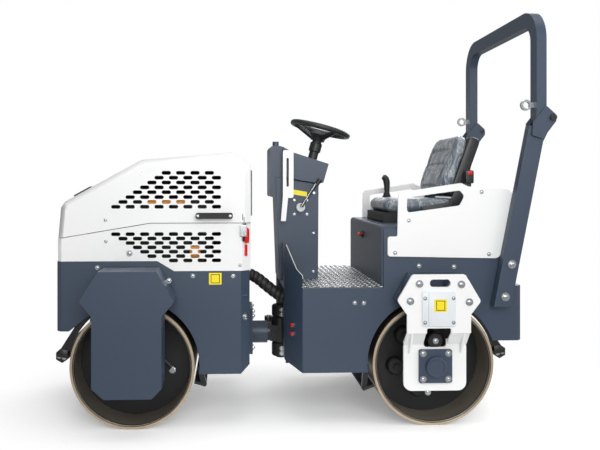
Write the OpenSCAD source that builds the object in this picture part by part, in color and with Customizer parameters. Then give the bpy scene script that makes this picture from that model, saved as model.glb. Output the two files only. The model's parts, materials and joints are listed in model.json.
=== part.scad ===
// Ride-on tandem road roller, articulated in the middle.
// The front frame carries the engine under its hood, the rear frame the operator's platform.
// X runs to the rear, Y to the machine's right-hand side, Z up from the ground.

/* [Drums] */
// Radius of each drum
drum_r = 280; // [274:1:286]
// Width of each drum
drum_w = 900; // [880:5:910]
// Distance between the two drum axles
wheelbase = 1370; // [1365:1:1380]
// Thickness of a drum's rolling shell
drum_wall = 18; // [14:1:24]
// Depth of the recess in each end of a drum
recess = 165; // [160:1:175]

/* [Frames] */
// Width over the frames' side plates
body_w = 860; // [850:2:870]
// Thickness of the frames' plates
plate = 10; // [8:1:12]
// Gap between a drum and its arch
arch_gap = 20; // [18:1:24]
// Height of the frames' lower edges
belly_z = 240; // [232:2:250]
// Height of the decks over the drums
deck_z = 592; // [590:1:600]
// Front face of the front frame, from the front axle
nose = 343; // [335:1:350]
// Rear face of the rear frame, from the rear axle
tail = 421; // [415:1:430]

/* [Hood] */
// Height of the hood's highest edge
hood_top = 1250; // [1230:5:1270]
// Height of the seam between hood and cowl at the rear
seam_z = 926; // [920:1:935]
// Height of the seam at the nose
nose_seam_z = 854; // [848:1:860]
// Width of the bevel along the hood's edges
bevel = 26; // [20:1:30]
// Thickness of the hood's and cowl's sheet
sheet = 6; // [4:1:8]

/* [Platform] */
// Height of the platform's tread plate
floor_z = 633; // [630:1:640]
// Front face of the seat base
seat_base_x = 452; // [446:1:458]
// Height of the seat base
seat_base_z = 915; // [910:1:920]
// Diameter of the steering wheel
wheel_d = 316; // [300:2:330]
// Lean of the steering column from the vertical
column_lean = 15; // [12:1:18]

/* [Roll-over hoop] */
// Height of the hoop
hoop_top = 1915; // [1880:5:1940]
// Spacing of the hoop's posts
hoop_span = 910; // [906:1:916]
// Outer radius of the hoop's corners
hoop_bend = 150; // [120:5:170]
// Width of the hoop's tube across the machine
tube_w = 70; // [66:1:72]
// Depth of the hoop's tube along the machine
tube_d = 46; // [42:1:48]
// Bore of the lashing eyes
eye_bore = 30; // [24:1:34]

/* [Articulation] */
// Steering pivot, along the machine
pivot_x = 18; // [14:1:22]
// Height of the oscillation pin
swing_z = 345; // [340:1:350]

/* [Hidden] */
$fn = 64;

slate = "#48525f";
white = "#e8e9ea";
black = "#1d1e20";
zinc = "#b9bcbf";

front_axle = -wheelbase / 2;
rear_axle = wheelbase / 2;
side_y = body_w / 2;
arch_r = drum_r + arch_gap;
rim_y = drum_w / 2;
web_y = rim_y - recess;

// Front frame, its cowl and its hood, along the machine
nose_x = front_axle - nose;
front_end_x = -155;
rear_corner = [41, 41];
nose_corner = [20, 20];
cowl_z = 756;
cowl_step_z = 710;
nose_low_z = 440;
hood_nose_z = 1010;
hood_knee_x = -650;
hood_knee_z = hood_top - 35;

// Rear frame, along the machine
guard_x = 14;
front_corner = [72, 115];
tail_corner = [20, 20];
guard_z = 816;
side_front_x = guard_x + front_corner.x;
tail_x = rear_axle + tail;
tail_low_z = 381;
tail_top_z = 635;
pocket_y = 230;
pocket_x = 75;
pocket_z = 600;

// Brackets that carry the drums, each outward from the frame's side
pad_out = side_y + 100;
bracket_out = side_y + 112;
carrier_in = rim_y + 14;
carrier_out = carrier_in + 12;
cover_out = side_y + 200;
head_z = 2 * drum_r;
shaft_r = 45;
running_gap = 1;

// Steering cylinder, from the rear frame to the centre block's arm
barrel_x = 325;
barrel_y = 150;
arm_x = -38;
arm_y = 130;
cylinder_z = swing_z + 42;
cylinder_turn = atan2(arm_y - barrel_y, arm_x - barrel_x);
cylinder_l = norm([arm_x - barrel_x, arm_y - barrel_y]);

// Roll-over hoop and its fold
post_y = hoop_span / 2;
hoop_x = 1150;
pin_x = 1223;
pin_z = 1409;
hoop_foot_z = 1385;
post_lean = 11.2;
post_out = 30;
post_w = 46;

// Seat with its suspension, and the lever's console beside it
seat_x = 497;
seat_w = 470;
cushion_z = 965;
cushion_h = 66;
back_t = 110;
back_lean = 20;
lever_z = 1027;

// Slots that let air through the hood and the cowl, in staggered rows
slot_l = 42;
slot_h = 17;
slot_pitch = 65;
slot_row = 22;
slot_end_x = -286;

// Steering wheel centre
wheel_x = 222;
wheel_z = 1388;

// Middle of the overall length, where the origin goes
mid_x = (nose_x - 14 + pin_x + 22) / 2;

module place() translate([-mid_x, 0, 0]) children();

// Extrudes a drawing in X and Z from y0 to y1
module along_y(y0, y1) {
    translate([0, y1, 0]) rotate([90, 0, 0]) linear_extrude(y1 - y0) children();
}

// Extrudes a drawing in Y and Z from x0 to x1
module along_x(x0, x1) {
    translate([x0, 0, 0]) rotate([90, 0, 90]) linear_extrude(x1 - x0) children();
}

// A round bar across the machine
module bar_y(x, z, r, y0, y1) {
    translate([x, y1, z]) rotate([90, 0, 0]) cylinder(r = r, h = y1 - y0);
}

// A box between two corners
module block(a, b) {
    translate(a) cube(b - a);
}

// The same piece on both sides of the machine
module both_sides() {
    children();
    mirror([0, 1, 0]) children();
}

// A rectangle with round corners, drawn between two corners
module rounded(a, b, r) {
    translate([a.x + r, a.y]) square([b.x - a.x - 2 * r, b.y - a.y]);
    translate([a.x, a.y + r]) square([b.x - a.x, b.y - a.y - 2 * r]);
    for (x = [a.x + r, b.x - r], y = [a.y + r, b.y - r]) translate([x, y]) circle(r);
}

// Corners of an outline, each rounded with its radius
function rounded_outline(p, r) = [for (i = [0:len(p) - 1]) let (
    b = p[i], ri = is_list(r) ? r[i] : r,
    u = unit(p[(i + len(p) - 1) % len(p)] - b), v = unit(p[(i + 1) % len(p)] - b),
    half = acos(u * v) / 2, centre = b + unit(u + v) * ri / sin(half))
    each ri == 0 ? [b] : [for (k = [0:4]) let (q = b + (u * (4 - k) + v * k) / 4 * ri / tan(half)) centre + unit(q - centre) * ri]];

function unit(v) = v / norm(v);

// A corner cut, along and across the machine, once the wall is inset
function inset_cut(cut, inset) = cut * (1 + inset * (norm([1 / cut.x, 1 / cut.y]) - 1 / cut.x - 1 / cut.y));

// A frame's plan, inset by its wall, with its corners cut off at front and rear
module frame_plan(x0, x1, cut0, cut1, inset) {
    half = side_y - inset;
    c0 = inset_cut(cut0, inset);
    c1 = inset_cut(cut1, inset);
    a = x0 + inset;
    b = x1 - inset;
    polygon([[a + c0.x, -half], [b - c1.x, -half], [b, -half + c1.y], [b, half - c1.y],
        [b - c1.x, half], [a + c0.x, half], [a, half - c0.y], [a, -half + c0.y]]);
}

// A frame's walls, all round its plan
module frame_walls(x0, x1, cut0, cut1, wall, top) {
    linear_extrude(top) difference() {
        frame_plan(x0, x1, cut0, cut1, 0);
        frame_plan(x0, x1, cut0, cut1, wall);
    }
}

// Side view of the front frame, with its arch
module front_profile() {
    difference() {
        polygon([[nose_x, nose_low_z], [nose_x + 57, nose_low_z], [front_axle - 199, deck_z - 83],
            [front_axle, deck_z], [front_axle + arch_r, belly_z], [front_end_x - rear_corner.x, belly_z],
            [front_end_x, belly_z + 34], [front_end_x, cowl_step_z], [front_axle + 186, cowl_step_z],
            [front_axle + 110, cowl_z], [nose_x, cowl_z]]);
        translate([front_axle, drum_r]) circle(arch_r);
    }
}

// Side view of the rear frame, with its arch
module rear_profile() {
    difference() {
        polygon([[guard_x, belly_z + 34], [side_front_x, belly_z], [rear_axle - arch_r, belly_z],
            [rear_axle, deck_z], [rear_axle + 276, tail_low_z], [tail_x, tail_low_z],
            [tail_x, tail_top_z], [rear_axle + 325, tail_top_z], [rear_axle + 325, 778],
            [seat_base_x + 8, seat_base_z - 8], [seat_base_x + 8, floor_z - 6], [side_front_x + 1, floor_z - 6],
            [side_front_x, 681], [guard_x, guard_z]]);
        translate([rear_axle, drum_r]) circle(arch_r);
    }
}

module rear_frame() color(slate) {
    difference() {
        intersection() {
            frame_walls(guard_x, tail_x, front_corner, tail_corner, plate, 900);
            along_y(-side_y, side_y) rear_profile();
        }
        block([guard_x - 1, -pocket_y, 0], [guard_x + plate + 1, pocket_y, pocket_z]);
        block([guard_x - 1, -152, floor_z - 6], [guard_x + plate + 1, 152, 900]);
    }
    // Deck over the drum, and the plate across the tail
    block([rear_axle - arch_r - 30, -side_y + plate, deck_z], [tail_x - plate, side_y - plate, deck_z + 8]);
    block([rear_axle + 325, -side_y + plate, tail_top_z - 8], [tail_x - plate, side_y - plate, tail_top_z]);
    // Pocket of the steering pivot
    difference() {
        block([pocket_x, -pocket_y - plate, belly_z], [pocket_x + plate, pocket_y + plate, floor_z - 6]);
        block([pocket_x - 1, arm_y - 50, cylinder_z - 50], [pocket_x + plate + 1, arm_y + 70, cylinder_z + 50]);
    }
    both_sides() block([guard_x + plate, -pocket_y - plate, belly_z], [pocket_x, -pocket_y, pocket_z]);
    block([guard_x, -pocket_y - plate, pocket_z], [pocket_x, pocket_y + plate, pocket_z + plate]);
    // Cross plate under the floor, ahead of the drum
    cross_x = rear_axle - arch_r - 30;
    block([cross_x, -side_y + plate, belly_z], [cross_x + 10, side_y - plate, deck_z]);
    // Fork of the steering cylinder's barrel
    for (z = [-26, 16]) difference() {
        block([barrel_x - 22, barrel_y - 25, cylinder_z + z], [cross_x, barrel_y + 25, cylinder_z + z + 10]);
        translate([barrel_x, barrel_y, cylinder_z + z - 1]) cylinder(r = 10, h = 12);
    }
    translate([barrel_x, barrel_y, cylinder_z - 30]) cylinder(r = 10, h = 60);
}

module floor_plate() color("#a9adb0") {
    difference() {
        translate([0, 0, floor_z - 6]) linear_extrude(6) {
            translate([side_front_x + 1, -side_y]) square([seat_base_x - side_front_x - 1, body_w]);
            intersection() {
                frame_plan(guard_x, tail_x, front_corner, tail_corner, plate);
                translate([0, -side_y]) square([side_front_x + 2, body_w]);
            }
        }
        block([0, -152, floor_z - 10], [194, 152, floor_z + 1]);
    }
}

module seat_base() color(slate) {
    difference() {
        along_y(-side_y + plate, side_y - plate)
            rounded([seat_base_x, deck_z + 8], [rear_axle + 325, seat_base_z], 20);
        along_y(-side_y + plate + sheet, side_y - plate - sheet)
            rounded([seat_base_x + sheet, deck_z], [rear_axle + 325 - sheet, seat_base_z - sheet], 14);
        block([0, -500, 0], [2000, 500, deck_z + 9]);
    }
}

// Bellows and slides under the seat
module seat_suspension() color(black) {
    along_y(-seat_w / 2 + 35, seat_w / 2 - 35) rounded([seat_x + 10, seat_base_z], [seat_x + 390, cushion_z], 8);
}

module seat_cushion() color(black) {
    along_y(-seat_w / 2, seat_w / 2) rounded([seat_x, cushion_z], [seat_x + 415, cushion_z + cushion_h], 30);
}

module seat_back() color(black) {
    // The leaning back's lowest edge comes down on the cushion
    back_r = 40;
    drop = back_r + (back_t - back_r) * sin(back_lean) - back_r * cos(back_lean);
    translate([seat_x + 280, 0, cushion_z + cushion_h + drop]) rotate([0, back_lean, 0])
        along_y(-seat_w / 2 + 5, seat_w / 2 - 5) rounded([0, 0], [back_t, 328], back_r);
}

// Side view of a white side panel, with its window
module panel_profile() {
    difference() {
        polygon(rounded_outline([[477, 773], [1000, 762], [1067, 1078], [851, 1094], [819, 1110], [526, 1066],
            [522, 864], [477, 864]], [12, 30, 30, 20, 20, 22, 8, 12]));
        polygon(rounded_outline([[566, 973], [812, 1006], [834, 1050], [812, 1076], [566, 1042]], [14, 14, 20, 14, 14]));
    }
}

module side_panel_left() color(white) along_y(-side_y - 8, -side_y) panel_profile();

module side_panel_right() color(white) along_y(side_y, side_y + 8) panel_profile();

module lever_console() color(slate) {
    along_y(side_y - 150, side_y - 30) rounded([580, seat_base_z], [690, lever_z], 12);
}

module travel_lever() color(black) translate([645, side_y - 90, lever_z]) {
    cylinder(r = 20, h = 14);
    cylinder(r = 8, h = 78);
    translate([0, 0, 70]) rotate([0, -14, 0]) cylinder(r1 = 14, r2 = 19, h = 58);
}

module console_column() color(slate) {
    difference() {
        along_y(-150, 150) polygon([[0, floor_z - 6], [192, floor_z - 6], [195, 1105], [-19, 1140]]);
        along_y(-150 + sheet, 150 - sheet) polygon([[6, floor_z - 20], [186, floor_z - 20], [189, 1100], [-13, 1132]]);
    }
}

module instrument_hood() color(slate) {
    difference() {
        along_y(-165, 165) polygon([[16, 1290], [67, 1262], [244, 1205], [217, 1112], [196, 1107], [16, 1137]]);
        on_column() translate([0, 0, -400]) cylinder(r = 24.3, h = 300);
    }
}

module console_box() color(slate) {
    along_y(-150, 150) polygon(rounded_outline([[-45, 1041], [-16, 1041], [-19.4, 1140.4], [15.7, 1135],
        [15.7, 1294], [-45, 1294]], [8, 3, 0, 0, 12, 12]));
    translate([-15, -90, 1294]) cylinder(r = 16, h = 24);
}

module console_handle() color(white) {
    along_y(-196, -188) difference() {
        rounded([14, 1037], [66, 1271], 10);
        rounded([31, 1092], [43, 1233], 6);
    }
    for (z = [1046, 1246]) block([20, -188, z], [60, z < 1200 ? -150.3 : -165.3, z + 20]);
    along_y(-196, -188) polygon([[14, 1045], [40, 1045], [28, 924], [4, 924]]);
}

module throttle_lever() color(black) {
    translate([105, -150, 990]) rotate([90, 0, 0]) cylinder(r = 22, h = 6);
    translate([110, -178, 1000]) rotate([0, 35, 0]) {
        cylinder(r = 5, h = 130);
        translate([0, 0, 125]) cylinder(r = 11, h = 30);
    }
    translate([110, -155, 1000]) rotate([90, 0, 0]) cylinder(r = 9, h = 28);
}

// Places a piece on the steering column's axis, with its origin at the wheel's centre
module on_column() {
    translate([wheel_x, 0, wheel_z]) rotate([0, column_lean, 0]) children();
}

module steering_column() color(black) {
    on_column() translate([0, 0, -230]) cylinder(r = 24, h = 167.7);
}

module steering_wheel() color(black) on_column() {
    rotate_extrude() translate([wheel_d / 2 - 14, 0]) circle(14, $fn = 24);
    translate([0, 0, -62]) cylinder(r = 34, h = 34);
    for (i = [0:2]) rotate(120 * i + 180) hull() {
        translate([24, 0, -46]) cube([4, 34, 10], center = true);
        translate([wheel_d / 2 - 18, 0, -2]) cube([4, 26, 9], center = true);
    }
}

// Centre line of a leaning post at a height
function post_at(z) = 995 + (z - 551) * tan(post_lean);

module rops_posts() color(slate) both_sides() {
    along_y(-post_y - post_out, -post_y - post_out + post_w)
        polygon([[post_at(545) - 40, 545], [post_at(545) + 40, 545], [post_at(1310) + 40, 1310],
            [post_at(1372) + 12, 1372], [post_at(1372) - 40, 1372]]);
    // Foot pad, bolted to the frame's side
    along_y(-post_y - post_out + post_w, -side_y) polygon([[post_at(555) - 30, 555], [post_at(555) + 30, 555],
        [post_at(630) + 30, 630], [post_at(630) - 30, 630]]);
    // Lug that carries the hinge pin
    along_y(-post_y - 13, -post_y + 13) difference() {
        union() {
            polygon([[post_at(1280), 1280], [post_at(1280) + 40, 1280], [pin_x + 19, pin_z - 8],
                [pin_x - 17, pin_z - 12], [hoop_x + tube_d + 6, 1352], [post_at(1340), 1352]]);
            translate([pin_x, pin_z]) circle(21);
        }
        translate([pin_x, pin_z]) circle(10);
    }
}

module rops_pins() color(zinc) both_sides() {
    bar_y(pin_x, pin_z, 10, -post_y - tube_w / 2 - 10, -post_y + tube_w / 2 + 10);
    bar_y(pin_x, pin_z, 15, -post_y - tube_w / 2 - 16, -post_y - tube_w / 2 - 10);
}

module rops_hoop() color(slate) {
    bend_in = hoop_bend - tube_w;
    corner_y = post_y + tube_w / 2 - hoop_bend;
    corner_z = hoop_top - hoop_bend;
    block([hoop_x, -corner_y, hoop_top - tube_w], [hoop_x + tube_d, corner_y, hoop_top]);
    both_sides() {
        block([hoop_x, -post_y - tube_w / 2, hoop_foot_z], [hoop_x + tube_d, -post_y + tube_w / 2, corner_z]);
        translate([hoop_x, -corner_y, corner_z]) rotate([90, 0, 90])
            rotate_extrude(angle = 90, start = 90) translate([bend_in, 0]) square([tube_w, tube_d]);
        // Plates of the hinge, on the tube's outer and inner faces
        for (y = [-tube_w / 2 - 6, tube_w / 2]) along_y(-post_y + y, -post_y + y + 6) difference() {
            polygon(rounded_outline([[hoop_x - 19, 1387], [hoop_x + 42, 1463], [pin_x + 14, pin_z + 14],
                [pin_x + 16, pin_z - 16], [hoop_x + 26, 1311], [hoop_x - 23, 1328]], [4, 8, 16, 16, 6, 6]));
            translate([pin_x, pin_z]) circle(10 + running_gap);
        }
        // Lashing eye on the front face
        difference() {
            translate([hoop_x - 36, -post_y - 8, 1468]) union() {
                translate([0, 16, 0]) rotate([90, 0, 0]) cylinder(r = eye_bore / 2 + 10, h = 16);
                translate([0, 2, -12]) cube([36, 12, 24]);
            }
            translate([hoop_x - 36, -post_y + 20, 1468]) rotate([90, 0, 0]) cylinder(d = eye_bore, h = 40);
        }
    }
}

// Blocks on the rear frame that hold the steering pin's ends
module pivot_bearings() color(slate) {
    for (z = [[223, 295], [425, 485]]) difference() {
        union() {
            translate([pivot_x, 0, z[0]]) cylinder(r = 42, h = z[1] - z[0]);
            block([pivot_x, -42, z[0]], [pocket_x, 42, z[1]]);
        }
        translate([pivot_x, 0, 200]) cylinder(r = 25, h = 320);
    }
}

// Steering pin with the block that turns on it, its arm and the socket of the oscillation pin
module centre_block() color(black) {
    difference() {
        union() {
            translate([pivot_x, 0, 215]) cylinder(r = 25 - running_gap, h = 278);
            translate([pivot_x, 0, 298]) cylinder(r = 50, h = 124);
            block([-40, -48, swing_z - 40], [pivot_x, 48, swing_z + 40]);
            along_x(-52, -12) translate([0, swing_z]) circle(46);
        }
        along_x(-60, -20) translate([0, swing_z]) circle(25);
    }
    // Arm of the steering cylinder
    block([-52, 40, swing_z - 15], [-24, 150, swing_z + 15]);
}

module on_cylinder() {
    translate([barrel_x, barrel_y, cylinder_z]) rotate(cylinder_turn) rotate([0, 90, 0]) children();
}

module steer_barrel() color(black) {
    difference() {
        union() {
            on_cylinder() {
                translate([0, 0, 50]) cylinder(r = 28, h = 170);
                translate([0, 0, 15]) cylinder(r = 14, h = 40);
            }
            translate([barrel_x, barrel_y, cylinder_z - 15]) cylinder(r = 24, h = 30);
        }
        on_cylinder() translate([0, 0, 58]) cylinder(r = 16, h = 200);
        translate([barrel_x, barrel_y, cylinder_z - 20]) cylinder(r = 10 + running_gap, h = 40);
    }
}

// Rod with its eye and the eye's pin
module steer_rod() color(zinc) {
    on_cylinder() translate([0, 0, 135]) cylinder(r = 15, h = cylinder_l - 140);
    translate([arm_x, arm_y, cylinder_z - 15]) cylinder(r = 22, h = 30);
    translate([arm_x, arm_y, swing_z + 19]) cylinder(r = 9, h = cylinder_z - swing_z);
}

// Outline of a drum carrier's upper plate, about its axle, with its two side tips
function head_outline() = [[-120, head_z + 142], [118, head_z + 142], [190, head_z + 22], [144, head_z - 38],
    [-144, head_z - 38], [-188, head_z + 27]];

module carrier_head() polygon(rounded_outline(head_outline(), 16));

module pad_plate(axle) {
    along_y(-side_y - 30, -side_y) translate([axle, 0]) difference() {
        offset(delta = -4) polygon(head_outline());
        translate([-200, 0]) square([400, head_z + 15]);
    }
}

module pad_posts(axle) {
    for (x = [-95, 95]) bar_y(axle + x, head_z + 75, 55, -pad_out, -side_y - 30);
}

// Fork plate that carries one end of a drum, with its bearing housing
module bracket(axle) {
    along_y(-bracket_out, -pad_out) translate([axle, 0]) difference() {
        union() {
            carrier_head();
            translate([-144, head_z - 120]) square([288, 100]);
        }
        rounded([-42, head_z + 86], [52, head_z + 120], 16);
        rounded([-55, head_z - 130], [55, head_z - 98], 8);
    }
    for (x = [-144, 55]) along_x(axle + x, axle + x + 89)
        polygon([[-bracket_out, head_z - 108], [-pad_out, head_z - 120], [-carrier_in, drum_r + 108], [-carrier_out, drum_r + 96]]);
    difference() {
        union() {
            along_y(-carrier_out, -carrier_in) translate([axle, 0]) difference() {
                rounded([-144, drum_r - 114], [144, drum_r + 120], 38);
                rounded([-52, drum_r + 84], [52, drum_r + 140], 14);
            }
            bar_y(axle, drum_r, 80, -carrier_in, -web_y - 45);
        }
        bar_y(axle, drum_r, shaft_r + running_gap, -carrier_out - 1, 0);
    }
}

module bearing_cover(axle) {
    along_y(-carrier_out - 12, -carrier_out) translate([axle, drum_r]) rounded([-76, -76], [76, 76], 10);
    bar_y(axle, drum_r, 46, -carrier_out - 26, -carrier_out - 12);
}

// Outline of a drive motor's cover, about its axle
module cover_profile() {
    polygon([[-124, head_z + 172], [124, head_z + 172], [200, head_z + 40], [147, head_z - 23], [147, drum_r - 48],
        [105, drum_r - 92], [-99, drum_r - 92], [-150, drum_r - 46], [-150, head_z - 20], [-203, head_z + 46]]);
}

module motor_cover(axle) {
    along_y(-cover_out, -cover_out + 8) translate([axle, 0]) cover_profile();
    along_y(-cover_out + 8, -carrier_in) translate([axle, 0]) difference() {
        cover_profile();
        offset(delta = -8) cover_profile();
    }
    // Foot that the cover's bolts hold on the pads
    along_y(-carrier_in, -side_y - 30) translate([axle, 0]) difference() {
        offset(delta = -6) polygon(head_outline());
        translate([-250, 0]) square([500, head_z + 15]);
    }
}

module motor(axle) {
    bar_y(axle, drum_r, 78, -cover_out + 30, -web_y - 45);
    along_y(-cover_out + 8.3, -cover_out + 30) translate([axle, 0]) rounded([-120, drum_r - 30], [120, head_z - 45], 20);
}

module drum(axle, motor_side) {
    difference() {
        bar_y(axle, drum_r, drum_r, -rim_y, rim_y);
        bar_y(axle, drum_r, drum_r - drum_wall, -rim_y - 1, -web_y);
        bar_y(axle, drum_r, drum_r - drum_wall, web_y, rim_y + 1);
        bar_y(axle, drum_r, drum_r - drum_wall, -web_y + 16, web_y - 16);
    }
    mirror([0, motor_side > 0 ? 1 : 0, 0]) {
        bar_y(axle, drum_r, 70, -web_y - 40, -web_y);
        bar_y(axle, drum_r, shaft_r, web_y, carrier_out - 2);
    }
}

// Blade of a scraper at an angle round a drum, with the arms that hold it
module scraper(axle, angle, arm_to) {
    tip_r = drum_r + 8;
    translate([axle, 0, drum_r]) rotate([0, -angle, 0]) block([tip_r, -rim_y + 15, -6], [tip_r + 55, rim_y - 15, 6]);
    foot = [axle + (tip_r + 45) * cos(angle), drum_r + (tip_r + 45) * sin(angle)];
    for (y = [-side_y + plate, side_y - plate - 20]) along_y(y, y + 20) hull() {
        translate(foot) circle(12, $fn = 24);
        translate(arm_to) circle(12, $fn = 24);
    }
}

module rear_pads() color(black) {
    both_sides() pad_plate(rear_axle);
    pad_posts(rear_axle);
}

module rear_bracket_left() color(white) bracket(rear_axle);

module rear_bearing_cover() color(slate) bearing_cover(rear_axle);

module rear_motor_cover() color(slate) mirror([0, 1, 0]) motor_cover(rear_axle);

module rear_motor() color(black) mirror([0, 1, 0]) motor(rear_axle);

module rear_scrapers() color(black) {
    scraper(rear_axle, 200, [rear_axle - arch_r - 4, belly_z + 30]);
    scraper(rear_axle, 9, [rear_axle + 270, 420]);
}

module rear_drum() color("#5b5a57") drum(rear_axle, 1);

module front_frame() color(slate) {
    intersection() {
        frame_walls(nose_x, front_end_x, nose_corner, rear_corner, plate, 900);
        along_y(-side_y, side_y) front_profile();
    }
    block([nose_x + plate, -side_y + plate, deck_z], [front_end_x - plate, side_y - plate, deck_z + 8]);
    cross_x = front_axle + arch_r + 28;
    block([cross_x, -side_y + plate, belly_z], [cross_x + 10, side_y - plate, deck_z]);
}

// Plate and pin on the front frame that let it roll against the centre block
module swing_lug() color(slate) {
    block([front_end_x, -110, 254], [front_end_x + 24, 110, 481]);
    along_x(front_end_x + 24, -53) translate([0, swing_z]) circle(56);
    along_x(-54, -22) translate([0, swing_z]) circle(25 - running_gap);
}

// Route of the hose bundle between the frames
hose_path = [[-127, -190, 650], [-90, -190, 628], [-45, -195, 590], [0, -195, 560], [46, -190, 545]];
hose_r = 28;

module hose_bundle() color(black) {
    for (i = [0:len(hose_path) - 2]) hull() {
        translate(hose_path[i]) sphere(hose_r, $fn = 12);
        translate(hose_path[i + 1]) sphere(hose_r, $fn = 12);
    }
}

// Side view of the hood and cowl together, inset by the sheet
module hood_profile(inset) {
    polygon([[nose_x + 3 + inset, 700], [nose_x + 3 + inset, nose_seam_z], [nose_x + 16 + inset, hood_nose_z - 12],
        [nose_x + 33 + inset, hood_nose_z + 15 - inset], [hood_knee_x, hood_knee_z - inset],
        [-236, hood_top - inset], [front_end_x + 5 - inset, hood_top - 56 - inset], [front_end_x + 5 - inset, 700]]);
}

// Solid of the hood and cowl, with a bevel along its upper edges
module hood_solid(inset) {
    hull() {
        along_y(-side_y + inset, side_y - inset) offset(delta = -bevel) hood_profile(inset);
        along_y(-side_y + bevel + inset, side_y - bevel - inset) hood_profile(inset);
    }
}

// Everything above the seam, raised by a gap
module above_seam(gap) {
    along_y(-600, 600) polygon([[nose_x - 60, nose_seam_z - 8 + gap], [-608, seam_z + gap], [0, seam_z + gap],
        [0, 1600], [nose_x - 60, 1600]]);
}

// Rows of slots from a height upwards or downwards, each row's count given
module slot_rows(first_z, step, counts) {
    for (i = [0:len(counts) - 1], k = [0:counts[i] - 1]) {
        x = slot_end_x - (i % 2) * slot_pitch / 2 - k * slot_pitch;
        z = first_z + i * step;
        translate([x - slot_l + slot_h / 2, z - slot_h / 2]) square([slot_l - slot_h, slot_h]);
        for (e = [x - slot_l + slot_h / 2, x - slot_h / 2]) translate([e, z]) circle(d = slot_h, $fn = 16);
    }
}

module hood() color(white) {
    hood_hinges(hood_leaf = true);
    difference() {
        intersection() {
            difference() {
                hood_solid(0);
                hood_solid(sheet);
            }
            above_seam(3);
        }
        both_sides() along_y(-side_y - 1, -side_y + sheet + 1)
            slot_rows(seam_z + 76, slot_row, [8, 7, 7, 6, 6, 5, 5, 4]);
    }
}

// Knuckles at the nose on which the hood turns
module hood_hinges(hood_leaf) {
    for (y = [-290, 290]) translate([nose_x - 6, y, nose_seam_z]) {
        if (hood_leaf) {
            for (e = [-26, 26]) difference() {
                union() {
                    bar_y(0, 0, 8, e - 12, e + 12);
                    block([-2, e - 12, 5], [9.5, e + 12, 10]);
                    block([4, e - 12, 5], [13, e + 12, 30]);
                }
                bar_y(0, 0, 4 + running_gap / 2, e - 20, e + 20);
            }
        } else {
            bar_y(0, 0, 4, -42, 42);
            bar_y(0, 0, 8, -13, 13);
            block([-2, -13, -30], [9.5, 13, -4]);
        }
    }
}

module lower_cowl() color(white) {
    hood_hinges(hood_leaf = false);
    difference() {
        intersection() {
            frame_walls(nose_x + 3, front_end_x + 5, nose_corner, rear_corner, sheet, 1000);
            along_y(-side_y, side_y) polygon([[nose_x, cowl_z], [front_axle + 110, cowl_z],
                [front_axle + 186, cowl_step_z], [front_end_x + 10, cowl_step_z], [front_end_x + 10, 1000], [nose_x, 1000]]);
        }
        above_seam(0);
        both_sides() along_y(-side_y - 1, -side_y + sheet + 1)
            slot_rows(seam_z - 48, -slot_row + 2, [8, 7, 7, 6, 6, 5, 4]);
    }
}

module engine() color("#c8641e") {
    block([-880, -250, deck_z + 8], [-330, 250, hood_top - 210]);
}

module hood_handles() color(black) both_sides() {
    along_y(-side_y - 32, -side_y - 14) rounded([-401, 948], [-233, 975], 10);
    for (x = [-392, -254]) along_y(-side_y - 14, -side_y) rounded([x, 950], [x + 14, 973], 5);
}

module hood_latches() color(zinc) both_sides() {
    block([-200, -side_y - 12, 866], [-170, -side_y, 918]);
}

module front_pads() color(black) {
    both_sides() pad_plate(front_axle);
    mirror([0, 1, 0]) pad_posts(front_axle);
}

module front_motor_cover() color(slate) motor_cover(front_axle);

module front_motor() color(black) motor(front_axle);

module front_bracket_right() color(white) mirror([0, 1, 0]) bracket(front_axle);

module front_bearing_cover() color(slate) mirror([0, 1, 0]) bearing_cover(front_axle);

module front_scrapers() color(black) {
    scraper(front_axle, 171, [front_axle - 235, 480]);
    scraper(front_axle, -15, [front_axle + arch_r + 2, belly_z + 24]);
}

module front_drum() color("#5b5a57") drum(front_axle, -1);

place() rear_frame();
place() floor_plate();
place() seat_base();
place() seat_suspension();
place() seat_cushion();
place() seat_back();
place() side_panel_left();
place() side_panel_right();
place() lever_console();
place() travel_lever();
place() console_column();
place() instrument_hood();
place() console_box();
place() console_handle();
place() throttle_lever();
place() steering_column();
place() steering_wheel();
place() rops_posts();
place() rops_pins();
place() rops_hoop();
place() pivot_bearings();
place() centre_block();
place() steer_barrel();
place() steer_rod();
place() rear_pads();
place() rear_bracket_left();
place() rear_bearing_cover();
place() rear_motor_cover();
place() rear_motor();
place() rear_scrapers();
place() rear_drum();
place() front_frame();
place() swing_lug();
place() hose_bundle();
place() lower_cowl();
place() engine();
place() front_pads();
place() front_motor_cover();
place() front_motor();
place() front_bracket_right();
place() front_bearing_cover();
place() front_scrapers();
place() front_drum();
place() hood();
place() hood_handles();
place() hood_latches();
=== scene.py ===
import json
import math
import bmesh
import bpy
from mathutils import Matrix, Vector


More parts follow.
